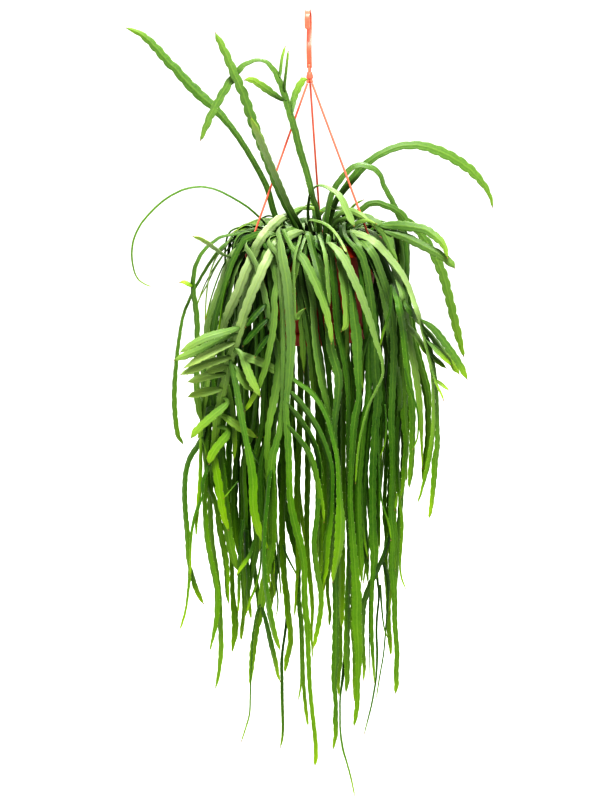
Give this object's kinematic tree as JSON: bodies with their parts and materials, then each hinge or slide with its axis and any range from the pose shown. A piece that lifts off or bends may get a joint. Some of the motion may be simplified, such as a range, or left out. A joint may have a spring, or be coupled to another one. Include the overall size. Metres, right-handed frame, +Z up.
{
  "type": "potted lepismium bolivianum",
  "caption": "Hanging pot with clip-on saucer, hook and wires, planted with a trailing cactus whose long flat stems arch out and hang far below the rim.",
  "frame": {"origin": "the point inside the top of the hook where it bears on what it hangs from, on the pot's axis", "axes": "+Z up along the pot's axis, -Y towards the front of the picture, +X to the right of the picture"},
  "size_m": [0.4577, 0.3126, 0.9945],
  "materials": {
    "pot_plastic": "satin moulded plastic",
    "hanger_plastic": "semi-gloss moulded plastic",
    "potting_mix": "rough, moist, granular",
    "stem": "smooth waxy skin"
  },
  "bodies": {
    "root": {"hanging_pot": "pot_plastic", "drip_saucer": "pot_plastic", "potting_soil": "potting_mix", "hanger_hook": "hanger_plastic", "hanger_hub": "hanger_plastic", "hanger_wire_back": "hanger_plastic", "hanger_wire_right": "hanger_plastic", "hanger_wire_left": "hanger_plastic", "stem_back_left_long_1": "stem", "stem_back_left_long_2": "stem", "stem_back_left_long_3": "stem", "stem_back_left_long_4": "stem", "stem_back_left_long_5": "stem", "stem_back_left_mid": "stem", "stem_back_left_short": "stem", "stem_back_middle_long_1": "stem", "stem_back_middle_long_2": "stem", "stem_back_middle_long_3": "stem", "stem_back_middle_long_4": "stem", "stem_back_middle_long_5": "stem", "stem_back_middle_long_6": "stem", "stem_back_middle_short": "stem", "stem_back_right_long_1": "stem", "stem_back_right_long_2": "stem", "stem_back_right_short_1": "stem", "stem_back_right_short_2": "stem", "stem_front_left_long_1": "stem", "stem_front_left_long_2": "stem", "stem_front_left_long_3": "stem", "stem_front_left_long_4": "stem", "stem_front_left_long_5": "stem", "stem_front_left_long_6": "stem", "stem_front_left_mid_1": "stem", "stem_front_left_mid_2": "stem", "stem_front_left_mid_3": "stem", "stem_front_left_short_1": "stem", "stem_front_left_short_2": "stem", "stem_front_middle_long_1": "stem", "stem_front_middle_long_2": "stem", "stem_front_middle_long_3": "stem", "stem_front_middle_long_4": "stem", "stem_front_middle_long_5": "stem", "stem_front_middle_long_6": "stem", "stem_front_middle_short_1": "stem", "stem_front_middle_short_2": "stem", "stem_front_middle_short_3": "stem", "stem_front_right_long_1": "stem", "stem_front_right_long_2": "stem", "stem_front_right_mid_1": "stem", "stem_front_right_mid_2": "stem", "stem_front_right_mid_3": "stem", "stem_front_right_mid_4": "stem", "stem_front_right_mid_5": "stem", "stem_front_right_mid_6": "stem", "stem_front_right_short_1": "stem", "stem_front_right_short_2": "stem"}
  },
  "joints": []
}
